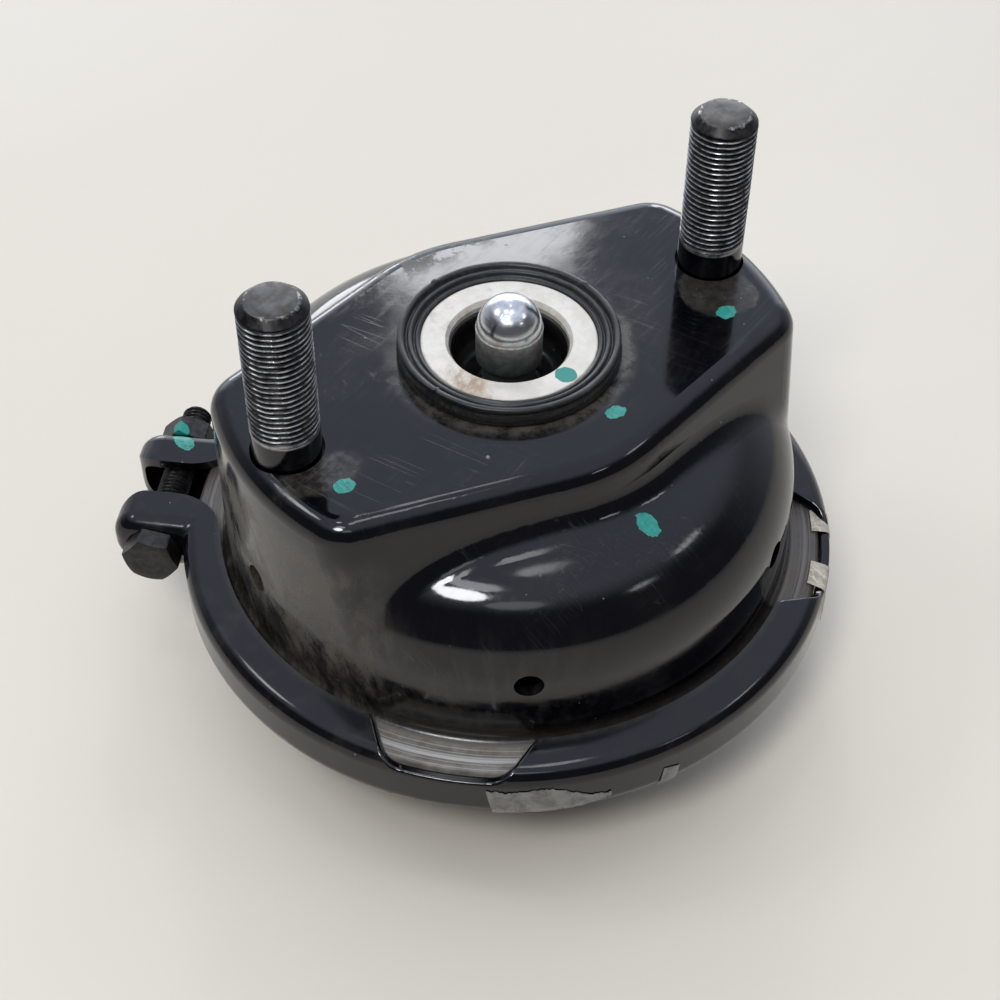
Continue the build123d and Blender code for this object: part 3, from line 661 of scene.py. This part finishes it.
def seal():
    """Face seal: three moulded ribs, two small burrs at its edge and a slit."""
    foot = [(17.65, 0.55), (17.65, -4.6), (22.5, -4.1), (22.5, -2.85), (19.9, -2.85), (19.9, -0.2)]
    side = [(26.3, -0.2), (26.75, 0.4), (26.8, 1.2), (26.6, 2.2), (26.15, 2.9), (26.05, 3.3), (26.3, 3.7)]
    outer_rib = [(26.55, 4.2), (26.45, 4.75), (26.05, 5.0), (25.3, 4.95), (24.9, 4.6), (24.6, 3.75)]
    middle_rib = [(24.2, 3.7), (23.95, 4.3), (23.4, 4.35), (23.0, 4.1), (22.75, 3.2)]
    inner_rib = [(22.35, 3.15), (22.1, 3.65), (21.5, 3.45), (21.15, 3.2), (21.15, 0.55)]
    outline = foot + side + outer_rib + middle_rib + inner_rib
    burrs = ((radians(100.4), 0.55), (radians(10.8), 0.40))
    slit = radians(-164.6)

    def arc_away(angle, centre, radius):
        return abs((angle - centre + pi) % (2 * pi) - pi) * radius

    def shape(r, z, angle):
        wave = 0.05 * noise.noise(Vector((cos(angle) * 5, sin(angle) * 5, z)))
        if z > 2.5 and r > 24.9:
            for centre, rise in burrs:
                bump = rise * max(0.0, 1 - arc_away(angle, centre, r) / 1.1)
                r, z = r + bump * 0.5, z + bump * 0.6
        if r > 25.0:
            r -= 0.7 * max(0.0, 1 - arc_away(angle, slit, r) / 0.5)
        return r + wave, z + wave * 0.6

    points, faces = turned_ring(round_corners(outline, 1), 360, shape)
    finish = rubber("seal_rubber", roughness=0.36, dusty=0.5)
    piece("seal_ring_ribbed", points, faces, finish, "chamber", ["seal_ring"], 60)


def boot():
    """Rubber boot between guide ring and rod: a funnel with two shallow folds and a moulded ring."""
    outside = [(13.5, 0.5), (15.3, 0.5), (15.3, -6.4), (14.3, -7.5), (13.1, -8.9), (12.5, -10.0),
               (11.3, -11.0), (10.3, -12.2), (9.2, -13.0), (8.6, -14.0), (8.6, -16.0)]
    inside = [(6.58, -16.0), (6.58, -12.6), (7.4, -11.8), (8.4, -11.3), (9.1, -10.3),
              (9.9, -9.6), (10.6, -8.5), (11.6, -7.9), (12.3, -6.9), (13.4, -5.6)]
    points, faces = turned_ring(round_corners(outside + inside, 2), 128)
    finish = rubber("boot_rubber", (0.003, 0.003, 0.0035), 0.28, 0.15)
    thing = piece("boot_folded", points, faces, finish, None, ["boot"], 60)
    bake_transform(thing)


def rod_end():
    """The rod's cap: a turned side, a fine step and a spherical dome."""
    dome_radius, dome_z = 7.8, 7.25
    rows = [(7.5, -2.4), (8.0, -1.9), (8.0, 2.0), (8.0, 6.35), (7.95, 6.6), (7.83, 6.75), (dome_radius, 6.9)]
    for step in range(13):
        rise = radians(88 * step / 12)
        rows.append((dome_radius * cos(rise), dome_z + dome_radius * sin(rise)))
    points, faces = turned_solid(rows, 96)
    piece("rod_head_domed", points, faces, zinc_head(), "rod", ["rod_head"], 50)


def grease_line():
    """A thin irregular bead of old grease round the rod end, under the dome."""
    radius, height, wide, tall = 7.92, 6.72, 0.16, 0.42
    outline = [(radius + wide * cos(t * pi / 5), height + tall * sin(t * pi / 5)) for t in range(10)]

    def shape(r, z, angle):
        swell = noise.noise(Vector((cos(angle) * 4, sin(angle) * 4, 2.5)))
        sway = 0.20 * noise.noise(Vector((cos(angle) * 1.3, sin(angle) * 1.3, 7.5)))
        out, up = (r - radius) * (0.9 + 0.4 * swell), (z - height) * (0.75 + 0.7 * swell)
        return radius + out, height + sway + up

    points, faces = turned_ring(outline, 180, shape)
    piece("grease_line", points, faces, grease(), "rod", (), 70)


seal()
boot()
rod_end()
grease_line()

# Diaphragm and return spring, inside ------------------------------------------------------------


def diaphragm():
    """Rubber diaphragm: flat under the push plate, then up the bowl's wall to its clamped rim."""
    centre = [(0.0, -98.9), (30, -98.9), (50, -98.9), (56, -98.3), (61.5, -95.6), (64.8, -90.6), (65.7, -84),
              (65.7, -74), (65.9, -69), (67.5, -65.6), (71, -64.5), (75.5, -64.5), (79.0, -64.5), (83, -64.5)]
    half_sheet, least = 1.4, 0.05
    rows = []
    for sign in (-1, 1):
        side = []
        for (r0, z0), (r1, z1) in zip(centre, centre[1:]):
            run = hypot(r1 - r0, z1 - z0) / half_sheet
            side.append((max(r0 - sign * (z1 - z0) / run, least), z0 + sign * (r1 - r0) / run))
        rows += side[::-sign]
    points, faces = turned_ring(rows, 96)
    finish = rubber("diaphragm_rubber")
    thing = piece("diaphragm_rolled", points, faces, finish, None, ["diaphragm"], 50)
    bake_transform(thing)


def spring():
    """Conical return spring of round wire, its end turns drawn closer."""
    turns, wire, low, high, segments, count = 4.5, 2.1, -93.05, -8.95, 14, 360
    foot, top, eased = 35.0, 27.2, 0.35
    points = []
    for i in range(count + 1):
        t = i / count
        angle = turns * 2 * pi * t
        rise = smooth(t, 0.0, 1.0) * eased + t * (1 - eased)
        radius = foot + (top - foot) * t
        out, up = Vector((cos(angle), sin(angle), 0)), Vector((0, 0, 1))
        for j in range(segments):
            a = 2 * pi * j / segments
            points.append(out * (radius + wire * cos(a)) + up * (low + (high - low) * rise + wire * sin(a)))
    faces = grid_faces(count + 1, segments)
    faces += [tuple(reversed(range(segments))), tuple(count * segments + j for j in range(segments))]
    faces = [tuple(reversed(f)) for f in faces]
    finish = steel("spring_steel", (0.10, 0.10, 0.10), 0.4)
    thing = piece("return_spring_coil", points, faces, finish, None, ["return_spring"], 60)
    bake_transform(thing)


diaphragm()
spring()

# Tape and film left on the clamp band -----------------------------------------------------------
BAND_OUTSIDE = 84.05  # just off its web


def along_path(path, share):
    """Point and normal of a (radius, z) path at a share of its length."""
    runs = [hypot(b[0] - a[0], b[1] - a[1]) for a, b in zip(path, path[1:])]
    left = share * sum(runs)
    for (r0, z0), (r1, z1), run in zip(path, path[1:], runs):
        if left <= run or (r1, z1) == path[-1]:
            t = left / run
            return (r0 + (r1 - r0) * t, z0 + (z1 - z0) * t), (-(z1 - z0) / run, (r1 - r0) / run)
        left -= run


def laid(name, path, place, material, columns=40, crumple=0.10, lift=lambda s, t: 0.0):
    """Tape or film on a (radius, z) path; place(s, t) gives its azimuth in degrees and share of the path."""
    rows, thickness, clear = 14, 0.14, 0.04
    points = []
    for layer in (0.0, thickness):
        for i in range(rows + 1):
            for j in range(columns + 1):
                s, t = j / columns, i / rows
                azimuth, share = place(s, t)
                (r, z), (nr, nz) = along_path(path, min(max(share, 0.0), 1.0))
                wrinkle = crumple * abs(noise.noise(Vector((azimuth * 0.35, share * 4, columns))))
                out = layer + clear + wrinkle + lift(s, t)
                angle = radians(azimuth)
                points.append(((r + nr * out) * cos(angle), (r + nr * out) * sin(angle), z + nz * out))
    wide, half = columns + 1, (rows + 1) * (columns + 1)
    faces = grid_faces(rows + 1, wide, wrap_columns=False)
    faces += [tuple(v + half for v in reversed(f)) for f in faces]
    rim = [i * wide for i in range(rows + 1)] + [rows * wide + j for j in range(1, wide)]
    rim += [i * wide + columns for i in range(rows - 1, -1, -1)] + list(range(columns - 1, 0, -1))
    faces += [(b, a, a + half, b + half) for a, b in zip(rim, rim[1:] + rim[:1])]
    piece(name, points, [tuple(reversed(f)) for f in faces], material, "chamber", (), 60)


def taped_window():
    """Two strips of tape over the rim of a window, the lower one's outer end lifting loose."""
    over_rim = [(79.2, -58.6), (80.4, -58.75), (81.3, -58.95), (82.3, -59.15), (83.1, -59.25),
                (83.7, -59.5), (84.02, -60.1), (BAND_OUTSIDE, -61.2), (BAND_OUTSIDE, -68.6)]
    finish = tape("masking_tape", (0.50, 0.455, 0.37), (0.33, 0.29, 0.22), 0.40)
    laid("tape_upper", over_rim, lambda s, t: (-37.6 + 4.9 * s + 0.4 * sin(5 * t + s), t), finish)
    laid("tape_lower", over_rim, lambda s, t: (-50.6 + 5.6 * s - 1.6 * t * t, t), finish,
         lift=lambda s, t: 0.22 * smooth(t, 0.7, 1.0))


def torn_film():
    """Scraps of torn film on the band's outside, one large and creased, one small."""
    web = [(BAND_OUTSIDE, -60.4), (BAND_OUTSIDE, -68.6), (83.75, -70.4), (82.9, -71.8)]
    finish = tape("torn_film", (0.215, 0.215, 0.200), (0.120, 0.120, 0.114), 0.18)

    def ragged(value, seed):
        return 0.05 * noise.noise(Vector((value * 1.9, seed, 0.5)))

    def large(s, t):
        azimuth = -127.2 + 20.4 * s + (1.2 * t if s < 0.05 else 0.0)
        top = 0.12 + 0.04 * sin(9 * s) + 0.40 * smooth(s, 0.42, 1.0) + ragged(azimuth, 1)
        bottom = 0.93 - 0.10 * smooth(s, 0.45, 0.62) - 0.18 * smooth(s, 0.7, 1.0) + ragged(azimuth, 2)
        return azimuth, top + (bottom - top) * t

    def small(s, t):
        return -97.6 + 2.9 * s - 0.8 * t, 0.34 + 0.55 * t + 0.10 * s

    laid("torn_film_large", web, large, finish, columns=90, crumple=0.16)
    laid("torn_film_small", web, small, finish, columns=16)


taped_window()
torn_film()

# Finish of the nodes that stay as CAD made them --------------------------------------------------

# the inspector's dabs of paint: centre and half sizes
face_marks = [((-55.7, -17.3, 0), (2.5, 2.1, 1.5)), ((8.3, -31.5, 0), (2.6, 1.8, 1.5)),
              ((51.4, -18.1, 0), (2.7, 2.2, 1.5)), ((2.5, -53.4, -14.7), (2.3, 3.5, 3.2))]
lug_mark = ((-58.6, 68.2, -56.3), (2.3, 4.0, 1.5))
node_finish = {
    "front_housing": enamel("front_housing_enamel", housing_dust, face_marks, extra=bare_flange),
    "rear_housing": enamel("rear_housing_enamel", rear_dust, gloss=0.16),
    "port_boss": enamel("port_boss_enamel", rear_dust, gloss=0.20),
    "clamp_band": enamel("clamp_band_enamel", band_dust, [lug_mark], gloss=0.09),
    "stud_plate": steel("stud_plate_steel", (0.06, 0.06, 0.06), 0.45),
    "guide_ring": ivory(),
    "push_plate": steel("push_plate_steel"),
    "push_rod": steel("push_rod_steel"),
}
for node_name, finish in node_finish.items():
    paint_node(node_name, finish)

# Floor, light and camera ------------------------------------------------------------------------


def floor():
    """A plain pale floor."""
    g = Graph("floor_pale")
    clouded = g.step(g.noise(180, 4, 0.5, (3, 1, 1)), 0.3, 0.7)
    colour = g.blend(clouded, (0.730, 0.668, 0.560), (0.756, 0.696, 0.590))
    g.set(base_color=colour, roughness=0.55, specular_ior_level=0.3)
    g.bump((g.noise(2.5, 3, 0.6, (3, 1, 1)), 0.05))
    data = bpy.data.meshes.new("floor")
    reach = 6.0
    corners = ((-reach, -reach), (reach, -reach), (reach, reach), (-reach, reach))
    data.from_pydata([(x, y, FLOOR_Z) for x, y in corners], [], [(0, 1, 2, 3)])
    data.materials.append(g.material)
    thing = bpy.data.objects.new("floor", data)
    bpy.context.scene.collection.objects.link(thing)


def lamp(name, azimuth, elevation, wide, tall, radiance):
    """A soft lamp: the direction it is seen in, azimuth from +X towards +Y, and its size, in degrees."""
    distance, a, e = 1.6, radians(azimuth), radians(elevation)
    data = bpy.data.lights.new(name, "AREA")
    data.shape = "ELLIPSE"
    data.size, data.size_y = (2 * distance * tan(radians(angle / 2)) for angle in (wide, tall))
    data.energy = radiance * pi * pi / 4 * data.size * data.size_y
    data.color = (0.97, 0.985, 1.0)
    thing = bpy.data.objects.new(name, data)
    thing.location = (distance * cos(a) * cos(e), distance * sin(a) * cos(e), distance * sin(e))
    thing.rotation_mode = "QUATERNION"
    thing.rotation_quaternion = (-thing.location).to_track_quat("-Z", "Y")
    thing.visible_camera = False
    bpy.context.scene.collection.objects.link(thing)


def studio_world():
    """A soft room: a pale ceiling, dark low down in front, and low bright windows behind the chamber."""
    world = bpy.data.worlds.new("studio")
    bpy.context.scene.world = world
    world.use_nodes = True
    tree = world.node_tree
    coords = tree.nodes.new("ShaderNodeTexCoord")
    to_windows, to_ceiling = (0.53, 0.85, 0), (0.08, 0.12, 0.99)

    def toward(direction, low, high):
        dot = tree.nodes.new("ShaderNodeVectorMath")
        dot.operation = "DOT_PRODUCT"
        tree.links.new(coords.outputs["Generated"], dot.inputs[0])
        dot.inputs[1].default_value = direction
        ease = tree.nodes.new("ShaderNodeMapRange")
        ease.interpolation_type = "SMOOTHSTEP"
        tree.links.new(dot.outputs["Value"], ease.inputs[0])
        ease.inputs[1].default_value, ease.inputs[2].default_value = low, high
        return ease.outputs[0]

    def mix(amount, a, b):
        node = tree.nodes.new("ShaderNodeMix")
        node.data_type = "RGBA"
        sockets = [item for item in node.inputs if item.enabled]
        for socket, value in zip(sockets, (amount, a, b)):
            if isinstance(value, bpy.types.NodeSocket):
                tree.links.new(value, socket)
            else:
                socket.default_value = (*value, 1.0)
        return next(item for item in node.outputs if item.enabled)

    dark, side, window = (0.10, 0.10, 0.11), (0.50, 0.54, 0.63), (1.9, 2.05, 2.35)
    ceiling, backdrop = (0.72, 0.79, 0.95), (0.70, 0.695, 0.67)
    low = mix(toward(to_windows, -0.1, 0.75), dark, side)
    low = mix(toward(to_windows, 0.72, 0.88), low, window)
    room = mix(toward(to_ceiling, 0.50, 0.80), low, ceiling)
    path = tree.nodes.new("ShaderNodeLightPath")
    # the camera alone sees the plain backdrop; the paint mirrors the room
    seen = mix(path.outputs["Is Camera Ray"], room, backdrop)
    tree.links.new(seen, tree.nodes["Background"].inputs["Color"])


floor()
studio_world()
# the lamps stand where the photo's paint mirrors them
lamp("ceiling_front_left", 213, 56, 15, 13, 24)
lamp("ceiling_front_left_high", 216, 67, 14, 8, 5)
lamp("ceiling_front", 240, 48, 18, 9, 1.6)
lamp("ceiling_left", 135, 51, 15, 9, 7)
lamp("ceiling_top_left", 138, 80, 6, 6, 9)
lamp("ceiling_top", 305, 83, 15, 7, 4)
lamp("ceiling_front_right", 322, 42, 13, 5, 4)
lamp("ceiling_front_low", 291, 36, 9, 4, 4)
lamp("ceiling_back", 50, 66, 5, 5, 4)
lamp("window_back", 57.5, 36.5, 9, 8.5, 10)
lamp("window_back_low", 44, 17, 10, 15, 6)
lamp("window_back_left", 76, 8, 16, 14, 5)

camera = bpy.data.cameras.new("camera")
camera.sensor_fit = "HORIZONTAL"
camera.sensor_width = 36.0
camera.lens = 67.2466
camera.clip_start, camera.clip_end = 0.01, 50.0
view = bpy.data.objects.new("camera", camera)
# the camera's axes and place, solved on the photo
right = (0.83131586, -0.55575178, 0.00734188)
up = (0.40234836, 0.61085708, 0.68188667)
back = (-0.38344457, -0.56390921, 0.73142099)
place = (-0.18671215, -0.27144703, 0.30041854)
view.matrix_world = Matrix([(right[i], up[i], back[i], place[i]) for i in range(3)] + [(0, 0, 0, 1)])
bpy.context.scene.collection.objects.link(view)
bpy.context.scene.camera = view
bpy.context.scene.view_settings.view_transform = "Standard"
